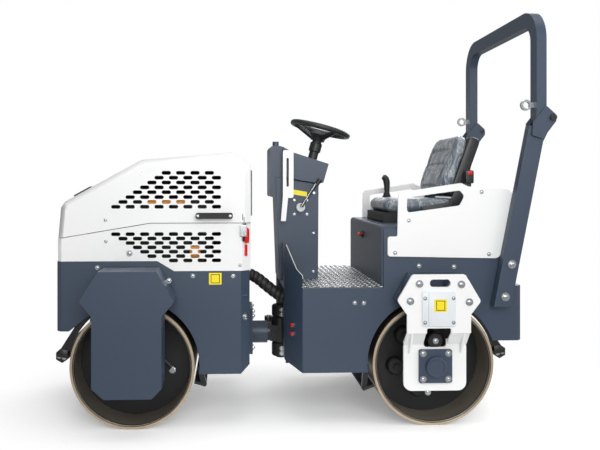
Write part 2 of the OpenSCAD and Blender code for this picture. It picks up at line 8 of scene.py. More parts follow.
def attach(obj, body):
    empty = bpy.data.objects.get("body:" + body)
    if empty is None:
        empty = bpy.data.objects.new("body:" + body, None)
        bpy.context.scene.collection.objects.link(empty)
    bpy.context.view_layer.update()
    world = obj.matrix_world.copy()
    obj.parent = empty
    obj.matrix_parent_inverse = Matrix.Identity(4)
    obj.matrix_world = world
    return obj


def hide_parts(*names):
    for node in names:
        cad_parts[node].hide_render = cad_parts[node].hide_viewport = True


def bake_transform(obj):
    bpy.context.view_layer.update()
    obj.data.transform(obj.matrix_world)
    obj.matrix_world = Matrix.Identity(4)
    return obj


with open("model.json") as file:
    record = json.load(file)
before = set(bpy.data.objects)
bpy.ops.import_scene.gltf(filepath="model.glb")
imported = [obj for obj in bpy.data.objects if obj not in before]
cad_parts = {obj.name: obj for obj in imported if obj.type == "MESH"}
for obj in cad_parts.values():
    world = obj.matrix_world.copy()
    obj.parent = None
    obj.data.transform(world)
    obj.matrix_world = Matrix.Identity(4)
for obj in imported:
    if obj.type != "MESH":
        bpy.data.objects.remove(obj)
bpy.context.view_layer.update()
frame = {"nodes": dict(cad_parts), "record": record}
nodes = frame["nodes"]
bodyOf = {node: body for body, names in frame["record"]["behaviour"]["bodies"].items() for node in names}
slotOf = {entry["node"]: entry["material_slot"] for entry in frame["record"]["subparts"]}
print("frame loaded", len(nodes), "nodes")

# The part's drawing runs along the machine from a point between the drums; its frame starts at mid length
midX = 101.5
# Axles of the drums along and up, and the outer wall of the body, in millimetres
drumX, drumZ, wallY = 685, 280, 430
bothSides = (-1, 1)


def at(x, y, z):
    return Vector(((x - midX) / 1000, y / 1000, z / 1000))


def sideName(side):
    return "Left" if side < 0 else "Right"


# Two distances from the middle on one side, the lower one first
def across(side, near, far):
    return sorted((side * near, side * far))


def linear(hexColour):
    channels = [int(hexColour[i:i + 2], 16) / 255 for i in (1, 3, 5)]
    return [c / 12.92 if c <= 0.04045 else ((c + 0.055) / 1.055) ** 2.4 for c in channels] + [1.0]


def addNode(tree, kind, **values):
    node = tree.nodes.new(kind)
    for key, value in values.items():
        if key in node.inputs:
            node.inputs[key].default_value = value
        else:
            setattr(node, key, value)
    return node


# Each finish has two close colours mixed by a noise, and a fine bump
def finish(name, colours, rough, metallic=0.0, grain=6.0, bumpScale=300.0, bump=0.02, coat=0.0,
           stretch=(1, 1, 1), roughTo=None):
    material = bpy.data.materials.new(name)
    material.use_nodes = True
    tree = material.node_tree
    shader = tree.nodes["Principled BSDF"]
    shader.inputs["Metallic"].default_value = metallic
    shader.inputs["Roughness"].default_value = rough
    shader.inputs["Coat Weight"].default_value = coat
    shader.inputs["Coat Roughness"].default_value = 0.15
    place = addNode(tree, "ShaderNodeTexCoord")
    mapping = addNode(tree, "ShaderNodeMapping", Scale=stretch)
    noise = addNode(tree, "ShaderNodeTexNoise", Scale=grain, Detail=5.0, Roughness=0.6)
    mix = addNode(tree, "ShaderNodeMix", data_type="RGBA")
    mix.inputs[6].default_value = linear(colours[0])
    mix.inputs[7].default_value = linear(colours[1])
    fine = addNode(tree, "ShaderNodeTexNoise", Scale=bumpScale, Detail=2.0)
    relief = addNode(tree, "ShaderNodeBump", Strength=bump, Distance=0.002)
    tree.links.new(place.outputs["Object"], mapping.inputs["Vector"])
    tree.links.new(mapping.outputs["Vector"], noise.inputs["Vector"])
    tree.links.new(mapping.outputs["Vector"], fine.inputs["Vector"])
    tree.links.new(noise.outputs["Fac"], mix.inputs[0])
    tree.links.new(mix.outputs[2], shader.inputs["Base Color"])
    tree.links.new(fine.outputs["Fac"], relief.inputs["Height"])
    tree.links.new(relief.outputs["Normal"], shader.inputs["Normal"])
    if roughTo is not None:
        spread = addNode(tree, "ShaderNodeMapRange")
        spread.inputs["To Min"].default_value = rough
        spread.inputs["To Max"].default_value = roughTo
        tree.links.new(noise.outputs["Fac"], spread.inputs["Value"])
        tree.links.new(spread.outputs["Result"], shader.inputs["Roughness"])
    return material


# Seat cover of grey-black vinyl under a crumpled clear film; the shine of its folds is a painted sheen, pale streaks
# mixed into the colour along the creases
def filmedVinyl(name):
    material = finish(name, ("#545d68", "#667079"), 0.36, grain=9.0, bumpScale=70.0, bump=0.1, coat=0.3)
    tree = material.node_tree
    shader = tree.nodes["Principled BSDF"]
    base = shader.inputs["Base Color"].links[0].from_socket
    place = addNode(tree, "ShaderNodeTexCoord")
    mapping = addNode(tree, "ShaderNodeMapping", Rotation=(0.7, 0.3, 0.0), Scale=(1.0, 1.0, 0.28))
    folds = addNode(tree, "ShaderNodeTexNoise", Scale=26.0, Detail=6.0, Roughness=0.62, Distortion=1.5)
    ramp = addNode(tree, "ShaderNodeValToRGB")
    ramp.color_ramp.elements[0].position = 0.5
    ramp.color_ramp.elements[0].color = (0, 0, 0, 1)
    ramp.color_ramp.elements[1].position = 0.72
    ramp.color_ramp.elements[1].color = (0.3, 0.3, 0.3, 1)
    bend = addNode(tree, "ShaderNodeMix", data_type="VECTOR")
    bend.inputs[0].default_value = 0.12
    creases = addNode(tree, "ShaderNodeTexVoronoi", feature="DISTANCE_TO_EDGE", Scale=17.0)
    thread = addNode(tree, "ShaderNodeMapRange")
    thread.inputs["From Max"].default_value = 0.055
    thread.inputs["To Min"].default_value = 0.62
    thread.inputs["To Max"].default_value = 0.0
    # Painted sheen: pale streaks along the film's folds and creases, mixed into the vinyl's colour
    paintedSheen = addNode(tree, "ShaderNodeMath", operation="ADD", use_clamp=True)
    light = addNode(tree, "ShaderNodeMix", data_type="RGBA")
    light.inputs[7].default_value = linear("#dde3e8")
    relief = addNode(tree, "ShaderNodeBump", Strength=0.4, Distance=0.005)
    tree.links.new(place.outputs["Object"], mapping.inputs["Vector"])
    tree.links.new(mapping.outputs["Vector"], folds.inputs["Vector"])
    tree.links.new(folds.outputs["Fac"], ramp.inputs["Fac"])
    tree.links.new(mapping.outputs["Vector"], bend.inputs[4])
    tree.links.new(folds.outputs["Color"], bend.inputs[5])
    tree.links.new(bend.outputs[1], creases.inputs["Vector"])
    tree.links.new(creases.outputs["Distance"], thread.inputs["Value"])
    tree.links.new(thread.outputs["Result"], paintedSheen.inputs[0])
    tree.links.new(ramp.outputs["Color"], paintedSheen.inputs[1])
    tree.links.new(paintedSheen.outputs[0], light.inputs[0])
    tree.links.new(base, light.inputs[6])
    tree.links.new(light.outputs[2], shader.inputs["Base Color"])
    tree.links.new(paintedSheen.outputs[0], relief.inputs["Height"])
    tree.links.new(relief.outputs["Normal"], shader.inputs["Normal"])
    return material


finishes = {
    # Powder coat on the steel frames, a blue-grey
    "slatePaint": dict(colours=("#334051", "#374456"), rough=0.42, grain=2.5, bumpScale=520.0, bump=0.025),
    # White powder coat on hood, cowl, panels and brackets
    "whitePaint": dict(colours=("#efefee", "#e9eaea"), rough=0.34, grain=2.0, bumpScale=520.0, bump=0.02),
    # White paint of the brackets' screwed covers, a shade greyer
    "coverPaint": dict(colours=("#dde2e5", "#d5dade"), rough=0.36, grain=2.0, bumpScale=520.0, bump=0.02),
    # Moulded black plastic of wheel, grips and covers
    "blackPlastic": dict(colours=("#1c1d1f", "#242628"), rough=0.42, grain=20.0, bumpScale=700.0, bump=0.05),
    # Black paint on steel
    "blackPaint": dict(colours=("#161719", "#1f2022"), rough=0.35, grain=6.0, bumpScale=400.0, bump=0.03),
    # Rubber of hoses, buffers and scraper blades
    "rubber": dict(colours=("#121213", "#1a1a1b"), rough=0.55, grain=30.0, bumpScale=500.0, bump=0.05),
    # Zinc plate on bolts, latches and eyes
    "zincSteel": dict(colours=("#c9cdcf", "#b0b5b8"), rough=0.26, metallic=1.0, grain=40.0, bump=0.03),
    # Rolled aluminium of the tread plate
    "treadAluminium": dict(colours=("#6f7274", "#565a5c"), rough=0.42, metallic=1.0, grain=25.0,
                           bumpScale=200.0, bump=0.05),
    # Crests of the tread plate, paler than the plate as a painted highlight
    "treadCrest": dict(colours=("#d8dada", "#bfc2c3"), rough=0.26, metallic=0.9, grain=25.0),
    # Turned steel of the drums, dark and streaked round the drum
    "drumSteel": dict(colours=("#66625c", "#4d4a46"), rough=0.34, metallic=0.85, grain=7.0,
                      bumpScale=160.0, bump=0.05, stretch=(1, 5, 1), roughTo=0.5),
    # Bare rims of the drums, with a thin brown bloom
    "rimSteel": dict(colours=("#c8b79f", "#a3907a"), rough=0.42, metallic=0.6, grain=14.0,
                     bumpScale=200.0, bump=0.04),
    # Worn steel of the drums' inner walls
    "drumInside": dict(colours=("#8d867b", "#6b6256"), rough=0.42, metallic=0.25, grain=6.0,
                       bumpScale=160.0, bump=0.05, stretch=(1, 4, 1)),
    # Dark primer on the drums' webs, made near-black as painted shade deep in the drums
    "drumPrimer": dict(colours=("#0e0f11", "#151618"), rough=0.5, grain=5.0, bumpScale=200.0, bump=0.06),
    # Orange enamel on the engine
    "engineEnamel": dict(colours=("#f7a526", "#e8911a"), rough=0.4, grain=8.0, bumpScale=180.0, bump=0.06),
    # Dull black of engine, pivots, handles and sound foam
    "engineBlack": dict(colours=("#131314", "#1c1c1d"), rough=0.6, grain=8.0, bumpScale=180.0, bump=0.06),
    # Red plastic of latch grips, caps and switch
    "redPlastic": dict(colours=("#d81a1e", "#c41418"), rough=0.35, grain=12.0),
    # Yellow vinyl of the labels
    "yellowLabel": dict(colours=("#f4e11c", "#eed70f"), rough=0.4, grain=3.0),
    # Dark print on the labels
    "labelPrint": dict(colours=("#1a1a12", "#222218"), rough=0.5, grain=3.0),
    # Pale grey plastic of the throttle's disc, also used for the painted highlight on the kick panel's edges
    "palePlastic": dict(colours=("#d4d6d4", "#c6c9c7"), rough=0.4, grain=10.0),
    # Grey sponge strip along the hood's edge
    "spongeStrip": dict(colours=("#6b6f73", "#55585c"), rough=0.8, grain=60.0, bumpScale=240.0, bump=0.2),
}
materials = {name: finish(name, **kit) for name, kit in finishes.items()}
materials["seatFilm"] = filmedVinyl("seatFilm")
slots = {"slatePaint": "slate_paint", "whitePaint": "white_paint", "blackPlastic": "black_plastic",
         "blackPaint": "black_paint", "rubber": "rubber", "zincSteel": "zinc_steel",
         "treadAluminium": "tread_plate", "drumSteel": "drum_steel", "engineEnamel": "engine_iron",
         "seatFilm": "seat_vinyl"}
print("materials", len(materials))


# Puts a mesh on its body with its finish
def piece(name, mesh, body, material, smooth=True):
    obj = bpy.data.objects.new(name, mesh)
    bpy.context.scene.collection.objects.link(obj)
    mesh.materials.clear()
    mesh.materials.append(materials[material])
    if smooth:
        mesh.polygons.foreach_set("use_smooth", [True] * len(mesh.polygons))
        mesh.set_sharp_from_angle(angle=math.radians(32))
    if body:
        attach(obj, body)
    return obj


# The CAD nodes keep their shapes, with eased edges and the finish of their slot
bySlot = {slot: material for material, slot in slots.items()}
edges = {"front_motor_cover": 7.0, "rear_motor_cover": 7.0, "floor_plate": 0.0, "front_drum": 3.0,
         "rear_drum": 3.0, "rops_hoop": 3.0, "rops_posts": 3.5, "engine": 12.0, "hood": 0.0,
         "lower_cowl": 0.0, "side_panel_left": 1.5, "side_panel_right": 1.5, "console_handle": 3.5,
         "hood_handles": 4.0, "travel_lever": 3.0}
usualEdge = 2.0
flatNormal = 0.9995
for name, obj in nodes.items():
    mesh = obj.data
    mesh.materials.clear()
    mesh.materials.append(materials[bySlot[slotOf[name]]])
    mesh.polygons.foreach_set("use_smooth", [True] * len(mesh.polygons))
    weld = obj.modifiers.new("weld", "WELD")
    weld.merge_threshold = 0.00002
    width = edges.get(name, usualEdge)
    if width:
        bevel = obj.modifiers.new("bevel", "BEVEL")
        bevel.width = width / 1000
        bevel.segments = 2
        bevel.limit_method = "ANGLE"
        bevel.angle_limit = math.radians(34)
        bevel.use_clamp_overlap = True
    flat = obj.modifiers.new("flatFaces", "WEIGHTED_NORMAL")
    flat.keep_sharp = True
    mesh.set_sharp_from_angle(angle=math.radians(50 if width else 18))
    if not width:
        slanted = [max(abs(n) for n in face.normal) < flatNormal for face in mesh.polygons]
        mesh.polygons.foreach_set("use_smooth", slanted)
print("CAD nodes dressed")

# Nodes whose finish is not the usual one of their slot
nodes["rops_pins"].data.materials[0] = materials["blackPaint"]
for name in ("engine", "pivot_bearings", "seat_suspension", "hood_handles"):
    nodes[name].data.materials[0] = materials["engineBlack"]
for name in ("rear_pads", "front_pads"):
    nodes[name].data.materials[0] = materials["slatePaint"]


# Gives the faces that a test picks another finish
def refinish(name, material, picked):
    mesh = nodes[name].data
    mesh.materials.append(materials[material])
    for face in mesh.polygons:
        if picked(nodes[name].matrix_world @ face.center):
            face.material_index = len(mesh.materials) - 1


# Zinc eyes on the hoop, and black bearing housings behind the brackets
eyeX, eyeY, eyeLow, eyeHigh = at(1149, 0, 0).x, 0.47, 1.435, 1.5
housingY, housingTop = 0.4625, 0.375
refinish("rops_hoop", "zincSteel", lambda c: c.x < eyeX and eyeLow < c.z < eyeHigh and abs(c.y) < eyeY)
for name in ("rear_bracket_left", "front_bracket_right"):
    refinish(name, "blackPaint", lambda c: abs(c.y) < housingY and c.z < housingTop)

# Drums: steel shell outside, bare rims, worn inner walls, and on the webs dark primer made darker as painted shade
drumSet = {"front_drum": -drumX, "rear_drum": drumX}
webReach, wallReach, rimY = 0.2555, 0.2665, 0.4485
for name, axleX in drumSet.items():
    mesh = nodes[name].data
    for material in ("rimSteel", "drumPrimer", "drumInside"):
        mesh.materials.append(materials[material])
    axle = at(axleX, 0, drumZ)
    for face in mesh.polygons:
        centre = nodes[name].matrix_world @ face.center
        reach = math.hypot(centre.x - axle.x, centre.z - axle.z)
        if reach < webReach:
            face.material_index = 2
        elif abs(centre.y) > rimY:
            face.material_index = 1
        elif reach < wallReach:
            face.material_index = 3


def roundRect(x0, z0, x1, z1, r, steps=5):
    corners = ((x1 - r, z1 - r, 0), (x0 + r, z1 - r, 90), (x0 + r, z0 + r, 180), (x1 - r, z0 + r, 270))
    outline = []
    for cx, cz, start in corners:
        for i in range(steps + 1):
            turn = math.radians(start + 90 * i / steps)
            outline.append((cx + r * math.cos(turn), cz + r * math.sin(turn)))
    return outline


# Points of a closed circle about an axis that runs across the machine
def circle(x, y, z, r, count):
    turns = (2 * math.pi * k / count for k in range(count + 1))
    return [at(x + r * math.cos(t), y, z + r * math.sin(t)) for t in turns]


def meshFrom(bm, name):
    mesh = bpy.data.meshes.new(name)
    bm.to_mesh(mesh)
    bm.free()
    return mesh


# An outline drawn across one axis and pulled along it, with eased edges
layouts = {"x": lambda a, b, t: at(t, a, b), "y": lambda a, b, t: at(a, t, b)}


def prism(name, outline, lo, hi, body, material, axis="y", edge=0.0, turn=None):
    place = layouts[axis]
    bm = bmesh.new()
    low = [bm.verts.new(place(a, b, lo)) for a, b in outline]
    high = [bm.verts.new(place(a, b, hi)) for a, b in outline]
    bm.faces.new(low)
    bm.faces.new(list(reversed(high)))
    for i in range(len(outline)):
        j = (i + 1) % len(outline)
        bm.faces.new((low[i], high[i], high[j], low[j]))
    bmesh.ops.recalc_face_normals(bm, faces=bm.faces)
    if edge:
        rims = [e for e in bm.edges if abs(e.calc_face_angle(0)) > 0.6]
        bmesh.ops.bevel(bm, geom=rims, offset=edge / 1000, segments=2, affect="EDGES", profile=0.5,
                        clamp_overlap=True)
    if turn:
        pivot, axisName, degrees = turn
        spin = Matrix.Rotation(math.radians(degrees), 4, axisName)
        about = Matrix.Translation(pivot) @ spin @ Matrix.Translation(-pivot)
        bmesh.ops.transform(bm, matrix=about, verts=bm.verts)
    return piece(name, meshFrom(bm, name), body, material)


# A smooth line through points
def spline(points, steps=10):
    pts = [2 * points[0] - points[1]] + list(points) + [2 * points[-1] - points[-2]]
    line = []
    for i in range(1, len(pts) - 2):
        a, b, c, d = pts[i - 1:i + 3]
        for k in range(steps):
            t = k / steps
            line.append(0.5 * (2 * b + (c - a) * t + (2 * a - 5 * b + 4 * c - d) * t ** 2
                               + (3 * b - a - 3 * c + d) * t ** 3))
    line.append(pts[-2].copy())
    return line


def ringAt(bm, centre, side, other, r, sides):
    turns = (2 * math.pi * k / sides for k in range(sides))
    return [bm.verts.new(centre + (side * math.cos(a) + other * math.sin(a)) * r / 1000) for a in turns]


# Joins rings of points into one closed skin
def skinned(bm, name, rings):
    sides = len(rings[0])
    for lower, upper in zip(rings, rings[1:]):
        for k in range(sides):
            j = (k + 1) % sides
            bm.faces.new((lower[k], lower[j], upper[j], upper[k]))
    bm.faces.new(list(reversed(rings[0])))
    bm.faces.new(rings[-1])
    bmesh.ops.recalc_face_normals(bm, faces=bm.faces)
    return meshFrom(bm, name)


# A tube along a line, whose radius may change along it
def tubeMesh(name, line, radius, sides=18):
    bm = bmesh.new()
    rings = []
    side = None
    for i, point in enumerate(line):
        ahead = line[min(i + 1, len(line) - 1)] - line[max(i - 1, 0)]
        ahead.normalize()
        if side is None:
            side = ahead.orthogonal().normalized()
        side = (side - ahead * side.dot(ahead)).normalized()
        r = radius(i / (len(line) - 1)) if callable(radius) else radius
        rings.append(ringAt(bm, point, side, ahead.cross(side), r, sides))
    return skinned(bm, name, rings)


# A turned piece: its profile of (along, radius) runs from a point in a direction
def turned(name, start, direction, profile, body, material, sides=32):
    ahead = Vector(direction).normalized()
    side = ahead.orthogonal().normalized()
    other = ahead.cross(side)
    bm = bmesh.new()
    rings = [ringAt(bm, start + ahead * along / 1000, side, other, r, sides) for along, r in profile]
    return piece(name, skinned(bm, name, rings), body, material)


def socketId(tree, name):
    return next(item.identifier for item in tree.interface.items_tree
                if item.name == name and item.in_out == "INPUT")


def newTree(name, inputs):
    tree = bpy.data.node_groups.new(name, "GeometryNodeTree")
    tree.interface.new_socket("Geometry", in_out="OUTPUT", socket_type="NodeSocketGeometry")
    for label, kind in inputs.items():
        tree.interface.new_socket(label, in_out="INPUT", socket_type="NodeSocket" + kind)
    return tree, addNode(tree, "NodeGroupInput"), addNode(tree, "NodeGroupOutput")


# A value times a fixed factor
def scaled(tree, socket, factor):
    node = addNode(tree, "ShaderNodeMath", operation="MULTIPLY")
    node.inputs[1].default_value = factor
    tree.links.new(socket, node.inputs[0])
    return node.outputs[0]


# Sets turned copies on points, makes them real and gives them the tree's material
def scatter(tree, given, result, points, instance, euler):
    rotation = addNode(tree, "FunctionNodeEulerToRotation")
    spread = addNode(tree, "GeometryNodeInstanceOnPoints")
    real = addNode(tree, "GeometryNodeRealizeInstances")
    coat = addNode(tree, "GeometryNodeSetMaterial")
    link = tree.links.new
    link(points, spread.inputs["Points"])
    link(instance, spread.inputs["Instance"])
    link(euler, rotation.inputs["Euler"])
    link(rotation.outputs["Rotation"], spread.inputs["Rotation"])
    link(spread.outputs["Instances"], real.inputs["Geometry"])
    link(real.outputs["Geometry"], coat.inputs["Geometry"])
    link(given.outputs["Material"], coat.inputs["Material"])
    link(coat.outputs["Geometry"], result.inputs["Geometry"])


# Bolt heads with washers on a set of points, all facing one way
def boltTree():
    tree, given, result = newTree("boltHeads", {"Geometry": "Geometry", "Radius": "Float", "Height": "Float",
                                                "Turn": "Vector", "Material": "Material"})
    radius, height = given.outputs["Radius"], given.outputs["Height"]
    head = addNode(tree, "GeometryNodeMeshCylinder", Vertices=6)
    dome = addNode(tree, "GeometryNodeMeshCone", Vertices=12)
    dome.inputs["Radius Top"].default_value = 0.0
    washer = addNode(tree, "GeometryNodeMeshCylinder", Vertices=20)
    up = addNode(tree, "ShaderNodeCombineXYZ")
    raised = addNode(tree, "GeometryNodeTransform")
    join = addNode(tree, "GeometryNodeJoinGeometry")
    link = tree.links.new
    link(radius, head.inputs["Radius"])
    link(height, head.inputs["Depth"])
    link(scaled(tree, radius, 1.55), washer.inputs["Radius"])
    link(scaled(tree, height, 0.5), washer.inputs["Depth"])
    link(scaled(tree, height, 0.5), up.inputs["Z"])
    link(scaled(tree, radius, 0.7), dome.inputs["Radius Bottom"])
    link(scaled(tree, height, 0.25), dome.inputs["Depth"])
    link(dome.outputs["Mesh"], raised.inputs["Geometry"])
    link(up.outputs["Vector"], raised.inputs["Translation"])
    for part in (washer.outputs["Mesh"], head.outputs["Mesh"], raised.outputs["Geometry"]):
        link(part, join.inputs["Geometry"])
    scatter(tree, given, result, given.outputs["Geometry"], join.outputs["Geometry"], given.outputs["Turn"])
    return tree


# Raised bars of tread plate on a grid, turned one way and the other in turn
def treadTree():
    tree, given, result = newTree("treadBars", {"Geometry": "Geometry", "Length": "Float", "Breadth": "Float",
                                                "Rows": "Int", "Columns": "Int", "Centre": "Vector",
                                                "Material": "Material"})
    grid = addNode(tree, "GeometryNodeMeshGrid")
    moved = addNode(tree, "GeometryNodeTransform")
    bar = addNode(tree, "GeometryNodeMeshUVSphere", Segments=8, Rings=4, Radius=0.001)
    flat = addNode(tree, "GeometryNodeTransform", Scale=(17.0, 5.2, 3.2))
    index = addNode(tree, "GeometryNodeInputIndex")
    row = addNode(tree, "ShaderNodeMath", operation="DIVIDE")
    whole = addNode(tree, "ShaderNodeMath", operation="FLOOR")
    along = addNode(tree, "ShaderNodeMath", operation="MODULO")
    both = addNode(tree, "ShaderNodeMath", operation="ADD")
    odd = addNode(tree, "ShaderNodeMath", operation="MODULO")
    odd.inputs[1].default_value = 2.0
    turn = addNode(tree, "ShaderNodeMath", operation="MULTIPLY_ADD")
    turn.inputs[1].default_value = math.pi / 2
    turn.inputs[2].default_value = math.pi / 4
    euler = addNode(tree, "ShaderNodeCombineXYZ")
    link = tree.links.new
    link(given.outputs["Length"], grid.inputs["Size X"])
    link(given.outputs["Breadth"], grid.inputs["Size Y"])
    link(given.outputs["Rows"], grid.inputs["Vertices X"])
    link(given.outputs["Columns"], grid.inputs["Vertices Y"])
    link(grid.outputs["Mesh"], moved.inputs["Geometry"])
    link(given.outputs["Centre"], moved.inputs["Translation"])
    link(bar.outputs["Mesh"], flat.inputs["Geometry"])
    link(index.outputs["Index"], row.inputs[0])
    link(given.outputs["Columns"], row.inputs[1])
    link(row.outputs[0], whole.inputs[0])
    link(index.outputs["Index"], along.inputs[0])
    link(given.outputs["Columns"], along.inputs[1])
    link(whole.outputs[0], both.inputs[0])
    link(along.outputs[0], both.inputs[1])
    link(both.outputs[0], odd.inputs[0])
    link(odd.outputs[0], turn.inputs[0])
    link(turn.outputs[0], euler.inputs["Z"])
    scatter(tree, given, result, moved.outputs["Geometry"], flat.outputs["Geometry"], euler.outputs["Vector"])
    return tree


# Runs a node tree on points and leaves a plain mesh on the body
def grown(name, tree, points, inputs, body, material):
    source = bpy.data.meshes.new(name + "Points")
    source.from_pydata([tuple(p) for p in points], [], [])
    obj = bpy.data.objects.new(name + "Source", source)
    bpy.context.scene.collection.objects.link(obj)
    modifier = obj.modifiers.new("grow", "NODES")
    modifier.node_group = tree
    for label, value in inputs.items():
        modifier[socketId(tree, label)] = value
    modifier[socketId(tree, "Material")] = materials[material]
    graph = bpy.context.evaluated_depsgraph_get()
    mesh = bpy.data.meshes.new_from_object(obj.evaluated_get(graph))
    bpy.data.objects.remove(obj)
    return piece(name, mesh, body, material)


# Bolts and screws: places along and up, on the left side and where mirrored on the right as well
bolts = boltTree()
boltSlim = 1.3


def facing(side):
    return (math.radians(-90 * side), 0.0, 0.0)


# Zinc bolts at places, with their radius and height in millimetres
def boltUp(name, places, radius, height, turn, body):
    grown(name, bolts, places, {"Radius": radius / 1000, "Height": height / 1000, "Turn": turn}, body, "zincSteel")


boltSets = {
    "hoodScrews": {"body": "hood", "y": wallY, "sides": bothSides, "radius": 5,
                   "at": [(-644, 1160), (-808, 942)]},
    "cowlScrews": {"body": "front_half", "y": wallY, "sides": bothSides, "radius": 5,
                   "at": [(-806, 846), (-200, 735)]},
    "cowlPlugs": {"body": "front_half", "y": wallY, "sides": bothSides, "radius": 9,
                  "at": [(-700, 792)]},
    "frontFrameBolts": {"body": "front_half", "y": wallY, "sides": bothSides, "radius": 6.8,
                        "at": [(-844, 728), (-414, 688), (-231, 687)]},
    "rearFrameBolts": {"body": "platform", "y": wallY, "sides": bothSides, "radius": 6.8,
                       "at": [(326, 560), (368, 559), (624, 729), (787, 724)]},
    "rearBracketBolts": {"body": "platform", "y": 542, "sides": (-1,), "radius": 11,
                         "at": [(596, 661), (785, 658), (555, 584), (821, 579)]},
    "frontBracketBolts": {"body": "front_half", "y": 542, "sides": (1,), "radius": 11,
                          "at": [(-774, 661), (-585, 658), (-815, 584), (-549, 579)]},
    "rearCoverBolts": {"body": "platform", "y": 488, "sides": (-1,), "radius": 10,
                       "at": [(627, 222), (743, 222), (627, 338), (743, 338)]},
    "frontCoverBolts": {"body": "front_half", "y": 488, "sides": (1,), "radius": 10,
                        "at": [(-743, 222), (-627, 222), (-743, 338), (-627, 338)]},
    "panelScrews": {"body": "platform", "y": 438, "sides": bothSides, "radius": 6,
                    "at": [(914, 1068), (575, 938), (511, 789), (948, 782)]},
    "postBolts": {"body": "platform", "y": 485, "sides": bothSides, "radius": 13,
                  "at": [(1036, 740), (1006, 592)]},
    "handleScrews": {"body": "hood", "y": 462, "sides": bothSides, "radius": 4,
                     "at": [(-390, 961.5), (-244, 961.5)]},
    "columnScrews": {"body": "platform", "y": 150, "sides": bothSides, "radius": 4,
                     "at": [(172, 1061), (170, 863), (168, 673)]},
    "throttleScrews": {"body": "platform", "y": 150, "sides": (-1,), "radius": 4,
                       "at": [(74, 1026), (137, 1026), (74, 956), (137, 956)]},
}
for name, kit in boltSets.items():
    for side in kit["sides"]:
        places = [at(x, side * kit["y"], z) for x, z in kit["at"]]
        boltUp(name + sideName(side), places, kit["radius"], kit["radius"] * boltSlim, facing(side), kit["body"])
print("bolts", len(boltSets))

# Tread plate: bars on the open parts of the platform's floor, in the crests' paler finish, a painted highlight
tread = treadTree()
treadPitch, treadZ = 27, 633
treadSets = {"treadRear": (204, 446, -422, 422), "treadLeft": (92, 188, -422, -160),
             "treadRight": (92, 188, 160, 422)}
for name, (x0, x1, y0, y1) in treadSets.items():
    field = {"Length": (x1 - x0) / 1000, "Breadth": (y1 - y0) / 1000,
             "Rows": round((x1 - x0) / treadPitch) + 1, "Columns": round((y1 - y0) / treadPitch) + 1,
             "Centre": at((x0 + x1) / 2, (y0 + y1) / 2, treadZ)}
    grown(name, tread, [at(0, 0, 0)], field, "platform", "treadCrest")
print("tread plate")

# How finely a cushion is cut, and how it swells
softSet = {"voxel": 0.0065, "quality": 4, "pressure": 4.0, "frames": 18}


# A cushion is cut as a rounded block, swells under its cover as cloth does, then gets its seams
def cushion(name, size, axis, corner, radius, cap, seams, place, node):
    bm = bmesh.new()
    bmesh.ops.create_cube(bm, size=1.0)
    bmesh.ops.scale(bm, vec=[s / 1000 for s in size], verts=bm.verts)
    uprights = [e for e in bm.edges if abs((e.verts[0].co - e.verts[1].co).normalized()[axis]) > 0.9]
    bmesh.ops.bevel(bm, geom=uprights, offset=corner / 1000, segments=8, affect="EDGES", profile=0.5)
    bm.normal_update()
    rims = [e for e in bm.edges if e.calc_face_angle(0) > 0.8]
    bmesh.ops.bevel(bm, geom=rims, offset=radius / 1000, segments=6, affect="EDGES", profile=0.5)
    obj = bpy.data.objects.new(name, meshFrom(bm, name))
    bpy.context.scene.collection.objects.link(obj)
    remesh = obj.modifiers.new("remesh", "REMESH")
    remesh.mode = "VOXEL"
    remesh.voxel_size = softSet["voxel"]
    graph = bpy.context.evaluated_depsgraph_get()
    cut = bpy.data.meshes.new_from_object(obj.evaluated_get(graph))
    obj.modifiers.clear()
    obj.data = cut
    start = [v.co.copy() for v in cut.vertices]
    cloth = obj.modifiers.new("cloth", "CLOTH")
    cloth.settings.quality = softSet["quality"]
    cloth.settings.use_pressure = True
    cloth.settings.uniform_pressure_force = softSet["pressure"]
    cloth.settings.effector_weights.gravity = 0.0
    for step in range(1, softSet["frames"] + 1):
        bpy.context.scene.frame_set(step)
    graph = bpy.context.evaluated_depsgraph_get()
    swollen = obj.evaluated_get(graph).to_mesh()
    ends = [v.co.copy() for v in swollen.vertices]
    obj.modifiers.clear()
    bpy.context.scene.frame_set(1)
    for vertex, a, b in zip(cut.vertices, start, ends):
        move = b - a
        if move.length > cap / 1000:
            move *= cap / 1000 / move.length
        vertex.co = a + move
    half = [s / 2000 for s in size]
    for vertex, a in zip(cut.vertices, start):
        depth = seams(a.x / half[0], a.y / half[1], a.z / half[2])
        outward = Vector((a.x / half[0] ** 2, a.y / half[1] ** 2, a.z / half[2] ** 2)).normalized()
        vertex.co -= outward * depth / 1000
    cut.transform(place)
    bpy.data.objects.remove(obj)
    soft = piece(name, cut, "platform", "seatFilm")
    cut.polygons.foreach_set("use_smooth", [True] * len(cut.polygons))
    thin = soft.modifiers.new("smooth", "SMOOTH")
    thin.iterations = 3
    thin.factor = 0.4
    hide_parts(node)
    return soft


def groove(distance, width, depth):
    return depth * math.exp(-(distance / width) ** 2)


# Sewn lines: a border on the cushion's top with two channels, and a framed panel on the back's front
def cushionSeams(u, v, w):
    if w < 0.2:
        return groove(w + 0.25, 0.06, 4.0) if w > -0.7 else 0.0
    channels = groove(abs(u - 0.05) - 0.45, 0.03, 6.0) if abs(v) < 0.6 else 0.0
    return max(groove(abs(v) - 0.6, 0.03, 7.0), channels)


def backSeams(u, v, w):
    if u > 0.2:
        return 0.0
    uprights = groove(abs(v) - 0.66, 0.04, 9.0) if -0.8 < w < 0.45 else 0.0
    rails = (groove(w - 0.45, 0.045, 9.0), groove(w + 0.8, 0.045, 9.0), groove(w + 0.04, 0.035, 7.0))
    return max(uprights, max(rails) if abs(v) < 0.66 else 0.0)


